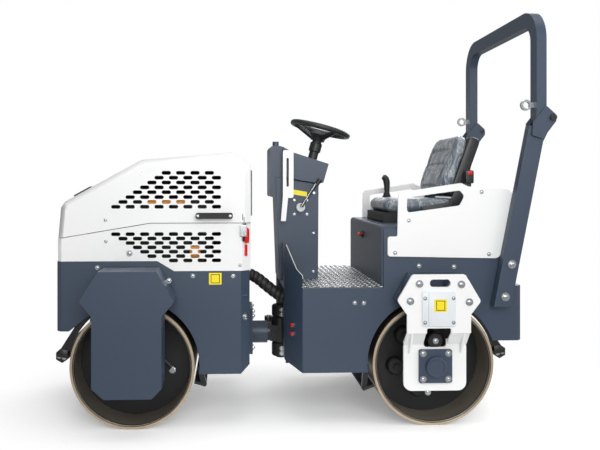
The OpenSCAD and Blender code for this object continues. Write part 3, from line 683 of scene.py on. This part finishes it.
leanDegrees = 20
backPivot = at(777, 0, 1057.4)
lean = Matrix.Rotation(math.radians(leanDegrees), 4, "Y")
backPlace = Matrix.Translation(backPivot) @ lean @ Matrix.Translation((0.030, 0, 0.164))
cushionPlace = Matrix.Translation(at(704.5, 0, 998))
cushion("seatCushion", (396, 452, 54), 2, 70, 25, 9, cushionSeams, cushionPlace, "seat_cushion")
cushion("seatBack", (52, 448, 316), 0, 80, 23, 7, backSeams, backPlace, "seat_back")

# Black shell behind the back, the recliner's side plates and the belt's buckle
prism("backShell", roundRect(828, 1072, 886, 1380, 22), -221, 221, "platform", "blackPlastic", edge=10,
      turn=(backPivot, "Y", leanDegrees))
reclinerShape = [(690, 972), (852, 968), (920, 1078), (902, 1104), (866, 1096), (822, 1016), (690, 996)]
for side in bothSides:
    prism("recliner" + sideName(side), reclinerShape, *across(side, 234, 242), "platform", "blackPlastic", edge=2)
prism("buckleStalk", roundRect(904, 915, 926, 1120, 8), -262, -254, "platform", "blackPlastic", edge=2)
prism("buckle", roundRect(896, 1108, 936, 1172, 8), -272, -244, "platform", "blackPlastic", edge=4)
prism("buckleButton", roundRect(904, 1150, 928, 1168, 5), -275, -271, "platform", "redPlastic", edge=1)
print("seat")

# Hose bundle in its spiral wrap, drawn as two stretches of tube on no body
hosePoints = ((-153, -190, 668), (-110, -190, 644), (-60, -193, 604), (-10, -195, 566),
              (34, -193, 545), (73, -190, 540))
hoseRun = spline([at(*point) for point in hosePoints], 14)
split = len(hoseRun) // 10
hoseRadius, wrapHeight = 25.2, 3.5


def wrapped(turns):
    return lambda t: hoseRadius + wrapHeight * abs(math.sin(math.pi * turns * t)) ** 0.5


for name, line, ends, rings in (("hoseFront", hoseRun[:split + 1], ("front_half", "centre_block"), 1),
                                ("hoseRear", hoseRun[split:], ("centre_block", "platform"), 10)):
    dense = spline(line, 4)
    hose = piece(name, tubeMesh(name, dense, wrapped(rings), 20), None, "rubber")
    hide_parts("hose_bundle")
    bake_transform(hose)
print("hoses")

# Labels, left blank apart from a frame line
labelThick, printThick = 0.6, 0.9
labelSets = {
    "frameLabel": {"body": "front_half", "box": (-341, 648, -284, 701), "y": wallY, "sides": bothSides},
    "bracketLabel": {"body": "platform", "box": (661, 537, 717, 593), "y": 551, "sides": (-1,)},
}
for name, kit in labelSets.items():
    x0, z0, x1, z1 = kit["box"]
    y, body = kit["y"], kit["body"]
    frameLines = ((x0 + 8, z0 + 6, x0 + 11, z1 - 6), (x1 - 11, z0 + 6, x1 - 8, z1 - 6),
                  (x0 + 8, z0 + 6, x1 - 8, z0 + 9), (x0 + 8, z1 - 9, x1 - 8, z1 - 6))
    for side in kit["sides"]:
        label = name + sideName(side)
        prism(label, roundRect(x0, z0, x1, z1, 2), *across(side, y, y + labelThick), body, "yellowLabel")
        for k, (a, b, c, d) in enumerate(frameLines):
            prism(label + "Line" + str(k), [(a, b), (c, b), (c, d), (a, d)],
                  *across(side, y + labelThick, y + printThick), body, "labelPrint")
prism("consoleLabel", [(40, 1083), (137, 1066), (137, 1042), (40, 1059)], -151, -150, "platform", "yellowLabel")

# Drum brackets: screwed cover with its label, and gussets down to the bearing plate
bracketSets = {"rear": {"axle": drumX, "side": -1, "body": "platform"},
               "front": {"axle": -drumX, "side": 1, "body": "front_half"}}
gussetShape = ((540, 450), (476, 404), (476, 338), (488, 342), (530, 425))
bossProfile = [(0, 46), (5, 46), (9, 42), (9, 36), (6, 33), (6, 0.5)]
for name, kit in bracketSets.items():
    axle, side, body = kit["axle"], kit["side"], kit["body"]
    prism(name + "BracketCover", roundRect(axle - 78, 470, axle + 74, 628, 8), *across(side, 542, 548), body,
          "coverPaint", edge=1.5)
    prism(name + "BracketCoverMid", roundRect(axle - 50, 472, axle + 50, 626, 4), *across(side, 546, 551), body,
          "coverPaint", edge=2)
    boltUp(name + "CoverScrews", [at(axle + x, side * 548, z) for x in (-65, 63) for z in (489, 597)], 5.5, 7,
           facing(side), body)
    for label, x in (("A", -118), ("B", 118)):
        prism(name + "Gusset" + label, [(side * y, z) for y, z in gussetShape], axle + x - 5, axle + x + 5, body,
              "whitePaint", axis="x", edge=1.5)
    turned(name + "BearingBoss", at(axle, side * 502, drumZ), (0, side, 0), bossProfile, body, "slatePaint")

# Stop bolt and grease nipple of each bearing housing, in the bracket's window and below its edge
for name, kit in bracketSets.items():
    axle, side, body = kit["axle"], kit["side"], kit["body"]
    for label, x, z, r, y in (("Stop", 3, 392, 34, 474), ("Nipple", -30, 157, 15, 464)):
        profile = [(0, r), (y - 404, r), (y - 400, r - 4), (y - 400, 0.5)]
        turned(name + label, at(axle + x, side * 400, z), (0, side, 0), profile, body, "blackPaint", 24)
        boltUp(name + label + "Bolt", [at(axle + x, side * (y + 2), z)], 9, 12, facing(side), body)

# Rubber buffers between each drum's web and its hub, on the side of the bracket
bufferProfile = [(0, 34), (4, 40), (14, 36), (30, 36), (40, 40), (46, 34), (46, 14), (52, 12), (52, 0.5)]
bufferReach, bufferY = 150, 286
for name, kit in bracketSets.items():
    axle, side = kit["axle"], kit["side"]
    for i in range(6):
        turn = math.radians(60 * i + 15)
        spot = at(axle + bufferReach * math.cos(turn), side * bufferY, drumZ + bufferReach * math.sin(turn))
        turned(name + "Buffer" + str(i), spot, (0, side, 0), bufferProfile, name + "_drum", "rubber", 20)
print("brackets")

# Hood: sponge strip and latches at its rear edge, with the corner bolts and capped fittings below them
latchSets = {
    "latchKeeper": {"shape": roundRect(-192, 936, -168, 974, 8), "y": (430, 437), "body": "hood",
                    "material": "zincSteel", "edge": 2},
    "latchLoop": {"shape": roundRect(-187, 890, -173, 958, 6), "y": (437, 442), "body": "front_half",
                  "material": "zincSteel", "edge": 1.5},
    "latchBase": {"shape": roundRect(-194, 842, -166, 912, 8), "y": (430, 437), "body": "front_half",
                  "material": "zincSteel", "edge": 2},
    "latchGrip": {"shape": [(-186, 836), (-166, 836), (-164, 896), (-172, 906), (-184, 900)], "y": (442, 455),
                  "body": "front_half", "material": "redPlastic", "edge": 3},
    "latchStrap": {"shape": roundRect(-176, 776, -162, 828, 4), "y": (430, 440), "body": "front_half",
                   "material": "redPlastic", "edge": 2},
}
cornerProfile = [(0, 20), (3, 20), (3, 13), (9, 12), (12, 8), (12, 0.5)]
fittingProfile = [(0, 13), (3, 13), (4, 10), (5, 10), (5, 0.5)]
capProfile = [(0, 9), (4, 9), (6, 6), (6, 0.5)]
for side in bothSides:
    label = sideName(side)
    prism("edgeStrip" + label, roundRect(-151, 960, -144, 1168, 3), *across(side, 386, 404), "hood", "spongeStrip")
    onBevel = (at(-196, side * wallY, 900), "Z", -45 * side)
    for name, kit in latchSets.items():
        prism(name + label, kit["shape"], *across(side, *kit["y"]), kit["body"], kit["material"], edge=kit["edge"],
              turn=onBevel)
    turned("cornerBolt" + label, at(-175.5, side * 409.5, 498), (1, side, 0), cornerProfile, "front_half",
           "zincSteel", 20)
    aim = (-0.847, side * 0.53, 0)
    for k, z in enumerate((449, 409)):
        turned("fitting" + label + str(k), at(46, side * 366, z), aim, fittingProfile, "platform", "zincSteel", 12)
        turned("fittingCap" + label + str(k), at(46 - 0.847 * 5, side * (366 + 2.7), z), aim, capProfile,
               "platform", "redPlastic", 16)
# Orange parts of the engine that show through the slots
for name, box in {"enginePipe": (-640, 1012, -450, 1032), "engineFilter": (-430, 770, -382, 822)}.items():
    prism(name, roundRect(*box, 8), -402, -330, "front_half", "engineEnamel", edge=4)
    prism(name + "Far", roundRect(*box, 8), 330, 402, "front_half", "engineEnamel", edge=4)
# Vent slot on the hood's slope, and the plug rings pressed into the cowl
prism("hoodVent", roundRect(-960, 1063, -874, 1075, 2), -398, 398, "hood", "engineBlack",
      turn=(at(-917, 0, 1070), "Y", -28.5))
for side in bothSides:
    ring = circle(-743, side * wallY, 810, 30, 40)
    piece("pressedRing" + sideName(side), tubeMesh("pressedRing", ring, 0.9, 8), "front_half", "whitePaint")
# Hose elbow at the front drive motor, and its twin at the rear one
for name, axle, side, body in (("front", -drumX, -1, "front_half"), ("rear", drumX, 1, "platform")):
    elbow = ((100, 318), (138, 306), (170, 276), (176, 262))
    bend = spline([at(axle + x, side * 420, z) for x, z in elbow], 8)
    piece(name + "MotorHose", tubeMesh(name + "MotorHose", bend, 11, 14), body, "rubber")
    turned(name + "MotorFitting", at(axle + 178, side * 420, 262), (0, side, 0),
           [(-14, 16), (14, 16), (18, 11), (18, 0.5)], body, "zincSteel", 16)
# Chamfer inside each drum rim, and the clamp blocks and cheeks of the end scrapers
chamferReach = 265.5
clampShape = ((292, 352), (322, 360), (346, 344), (346, 312), (318, 296), (294, 312))
for name, axle, away, body in (("front", -drumX, -1, "front_half"), ("rear", drumX, 1, "platform")):
    clamp = [(axle + away * x, z) for x, z in clampShape]
    arc = [(axle - away * r * math.cos(math.radians(180 - a)), drumZ + r * math.sin(math.radians(a)))
           for r, turns in ((289, range(14, 55, 4)), (316, range(50, 13, -4))) for a in turns]
    for side in bothSides:
        label = name + sideName(side)
        ring = circle(axle, side * 444.5, drumZ, chamferReach, 96)
        piece(label + "RimChamfer", tubeMesh(label + "RimChamfer", ring, 6.5, 10), name + "_drum", "drumSteel")
        prism(label + "ScraperCheek", arc, *across(side, 416, 424), body, "blackPaint", edge=1)
        prism(label + "ScraperClamp", clamp, *across(side, 372, 424), body, "blackPaint", edge=3)
        places = [at(axle + away * x, side * 425, z) for x, z in ((330, 328), (308, 322))]
        boltUp(label + "ScraperBolts", places, 7, 8, facing(side), body)
# Black sound foam on the right-hand inner walls of hood and cowl
hoodFoamShape = [(-835, 942), (-258, 942), (-258, 1206), (-640, 1198), (-835, 1092)]
cowlFoamShape = [(-835, 722), (-258, 722), (-258, 908), (-620, 908), (-835, 862)]
prism("hoodFoam", hoodFoamShape, 417, 422, "hood", "engineBlack")
prism("cowlFoam", cowlFoamShape, 417, 422, "front_half", "engineBlack")

# Black caps and zinc screws round the steering pin, and the bolts of the oscillation plate
for label, z0, z1 in (("Low", 223, 295), ("High", 425, 485)):
    tall, middle = z1 - z0, (z0 + z1) / 2
    turned("pivotCap" + label, at(18, 0, z0 + 4), (0, 0, 1),
           [(0, 44), (3, 47), (tall - 11, 47), (tall - 8, 44), (tall - 8, 0.5)], "platform", "engineBlack")
    boltUp("pivotScrews" + label, [at(20, -46, middle + 8), at(20, -46, middle - 16)], 8, 10, facing(-1), "platform")
boltUp("swingBolts", [at(-131, y, z) for y in (-88, 88) for z in (283, 442, 466)], 10, 18,
       (0.0, math.radians(90), 0.0), "front_half")
for name, side, body, x in (("front", -1, "front_half", -516), ("rear", 1, "platform", 516)):
    boltUp(name + "MotorCoverScrews", [at(x, side * 505, 677)], 8, 10, facing(side), body)
print("hood fittings")

# Console: throttle disc and rod, isolator switch on the seat base, travel lever
rodFoot, rodHead = at(106, -180, 994), at(188, -180, 1125)
turned("throttleDisc", at(104, -156, 989), (0, -1, 0), [(0, 22), (12, 22), (16, 18), (16, 6), (18, 5), (18, 0.5)],
       "platform", "palePlastic")
turned("throttleRod", rodFoot, rodHead - rodFoot, [(0, 3.2), (150, 3.2)], "platform", "zincSteel", 12)
turned("isolatorBase", at(452, 45, 843), (-1, 0, 0), [(0, 19), (5, 19), (6, 14), (12, 13), (12, 0.5)],
       "platform", "blackPlastic")
prism("isolatorKey", roundRect(37, 834, 53, 852, 6), 424, 441, "platform", "redPlastic", axis="x", edge=3)
stemPoints = ((645, 1028), (646, 1070), (645, 1110), (638, 1136), (622, 1146))
stem = spline([at(x, 340, z) for x, z in stemPoints], 8)


def gripRadius(t):
    return 14.5 + 4 * min(1, max(0, t * 3 - 0.6)) - 6 * max(0, t - 0.85) / 0.15


lever = piece("leverGrip", tubeMesh("leverGrip", stem, gripRadius, 18), "platform", "blackPlastic")
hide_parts("travel_lever")
bootProfile = [(0, 26), (6, 26), (10, 21), (14, 22), (20, 18), (26, 18), (30, 15), (30, 0.5)]
turned("leverBoot", at(645, 340, 1027), (0, 0, 1), bootProfile, "platform", "rubber")

# Steering wheel: cap, hub and spokes on its tilted axis, and the column's collar below
wheelTilt = math.radians(15)
wheelAxis = Vector((math.sin(wheelTilt), 0, math.cos(wheelTilt)))
wheelCentre = at(222, 0, 1388)
wheelSets = {
    "wheelCap": {"drop": 0.03, "body": "steering_wheel",
                 "profile": [(0, 44), (6, 44), (12, 38), (14, 20), (14, 0.5)]},
    "wheelHub": {"drop": 0.062, "body": "steering_wheel",
                 "profile": [(0, 35), (18, 40), (32, 50), (37, 47), (37, 0.5)]},
    "columnCollar": {"drop": 0.122, "body": "platform",
                     "profile": [(0, 25), (5, 31), (45, 31), (50, 27), (50, 0.5)]},
}
for name, kit in wheelSets.items():
    turned(name, wheelCentre - wheelAxis * kit["drop"], wheelAxis, kit["profile"], kit["body"], "blackPlastic")
tilt = Matrix.Rotation(wheelTilt, 4, "Y")
for i in range(3):
    spin = Matrix.Rotation(math.radians(120 * i + 180), 4, "Z")
    spoke = [wheelCentre + tilt @ spin @ Vector((0.03 + 0.108 * k / 8, 0, -0.047 + 0.044 * k / 8)) for k in range(9)]
    name = "wheelSpoke" + str(i)
    piece(name, tubeMesh(name, spoke, lambda t: 14 - 4 * t, 14), "steering_wheel", "blackPlastic")
# Painted highlight along the kick panel's slanted edge: a thin pale tube, on both sides
slantPoints = ((20, 328, 818), (62, 396, 712), (85, 432, 687), (87, 432, 673))
for side in bothSides:
    slant = [at(x, side * y, z) for x, y, z in slantPoints]
    piece("kickEdge" + sideName(side), tubeMesh("kickEdge", slant, 1.8, 8), "platform", "palePlastic")
print("console")

# Pale floor that fades into the white surroundings
floorMesh = bpy.data.meshes.new("studioFloor")
floorMesh.from_pydata([(-30, -12, 0), (30, -12, 0), (30, 40, 0), (-30, 40, 0)], [], [(0, 1, 2, 3)])
floor = bpy.data.objects.new("studioFloor", floorMesh)
bpy.context.scene.collection.objects.link(floor)
floorMaterial = bpy.data.materials.new("paleFloor")
floorMaterial.use_nodes = True
floorTree = floorMaterial.node_tree
floorShader = floorTree.nodes["Principled BSDF"]
floorLook = {"Base Color": (0.97, 0.97, 0.97, 1), "Roughness": 0.7, "Specular IOR Level": 0.15,
             "Emission Color": (1, 1, 1, 1), "Emission Strength": 0.23}
for label, value in floorLook.items():
    floorShader.inputs[label].default_value = value
floorPlace = addNode(floorTree, "ShaderNodeTexCoord")
floorOval = addNode(floorTree, "ShaderNodeMapping", Scale=(0.9, 1.5, 1.0))
floorReach = addNode(floorTree, "ShaderNodeVectorMath", operation="LENGTH")
floorFade = addNode(floorTree, "ShaderNodeMapRange", **{"From Min": 0.95, "From Max": 1.8})
floorGlow = addNode(floorTree, "ShaderNodeEmission", Color=(1, 1, 1, 1))
floorRays = addNode(floorTree, "ShaderNodeLightPath")
floorShine = addNode(floorTree, "ShaderNodeMapRange", **{"To Min": 0.4})
floorMix = addNode(floorTree, "ShaderNodeMixShader")
link = floorTree.links.new
link(floorRays.outputs["Is Camera Ray"], floorShine.inputs["Value"])
link(floorShine.outputs["Result"], floorGlow.inputs["Strength"])
link(floorPlace.outputs["Object"], floorOval.inputs["Vector"])
link(floorOval.outputs["Vector"], floorReach.inputs[0])
link(floorReach.outputs["Value"], floorFade.inputs["Value"])
link(floorFade.outputs["Result"], floorMix.inputs[0])
link(floorShader.outputs[0], floorMix.inputs[1])
link(floorGlow.outputs[0], floorMix.inputs[2])
link(floorMix.outputs[0], floorTree.nodes["Material Output"].inputs["Surface"])
floorMesh.materials.append(floorMaterial)

# White surroundings for the camera, and for the light a sky that is darker towards the front
world = bpy.data.worlds.new("studio")
bpy.context.scene.world = world
world.use_nodes = True
sky = world.node_tree
background = sky.nodes["Background"]
background.inputs["Color"].default_value = (1, 1, 1, 1)
skyPlace = addNode(sky, "ShaderNodeTexCoord")
skySplit = addNode(sky, "ShaderNodeSeparateXYZ")
skyFade = addNode(sky, "ShaderNodeMapRange", **{"From Min": -1.0, "To Min": 0.22, "To Max": 0.58})
plain = addNode(sky, "ShaderNodeBackground", Color=(1, 1, 1, 1), Strength=1.0)
rays = addNode(sky, "ShaderNodeLightPath")
pick = addNode(sky, "ShaderNodeMixShader")
link = sky.links.new
link(skyPlace.outputs["Generated"], skySplit.inputs[0])
link(skySplit.outputs["X"], skyFade.inputs["Value"])
link(skyFade.outputs["Result"], background.inputs["Strength"])
link(rays.outputs["Is Camera Ray"], pick.inputs[0])
link(background.outputs[0], pick.inputs[1])
link(plain.outputs[0], pick.inputs[2])
link(pick.outputs[0], sky.nodes["World Output"].inputs["Surface"])

# Soft boxes over the machine, at the camera, at its rear side, behind and low behind
lampSets = {
    "topBox": {"at": (0.2, -0.3, 4.6), "to": (0, 0, 0.4), "size": 4.2, "power": 84},
    "keyBox": {"at": (0.1, -5.4, 2.7), "to": (-0.1, 0, 0.8), "size": 3.4, "power": 196},
    "fillBox": {"at": (4.0, -3.0, 2.4), "to": (0, 0, 0.8), "size": 2.6, "power": 36},
    "rearBox": {"at": (2.8, 3.6, 3.2), "to": (0, 0, 0.8), "size": 2.4, "power": 84},
    "lowBox": {"at": (1.2, 4.0, 1.3), "to": (0.2, 0, 0.6), "size": 1.4, "power": 19},
}
for name, kit in lampSets.items():
    lamp = bpy.data.lights.new(name, "AREA")
    lamp.size = kit["size"]
    lamp.energy = kit["power"]
    lampObject = bpy.data.objects.new(name, lamp)
    lampObject.location = kit["at"]
    lampObject.visible_camera = False
    lampObject.rotation_euler = (Vector(kit["to"]) - Vector(kit["at"])).to_track_quat("-Z", "Y").to_euler()
    bpy.context.scene.collection.objects.link(lampObject)

# Camera level with the hood, slightly turned to the rear, as in the photograph
camera = bpy.data.cameras.new("photoCamera")
camera.sensor_width = 36.0
camera.lens = 43.2
camera.shift_x = 0.0677
camera.shift_y = -0.0683
cameraObject = bpy.data.objects.new("photoCamera", camera)
cameraObject.location = at(-255, -3710.5, 1105.2)
cameraObject.rotation_euler = (math.radians(90), 0, math.radians(-2.5))
bpy.context.scene.collection.objects.link(cameraObject)
bpy.context.scene.camera = cameraObject
bpy.context.scene.view_settings.view_transform = "Standard"
print("studio")
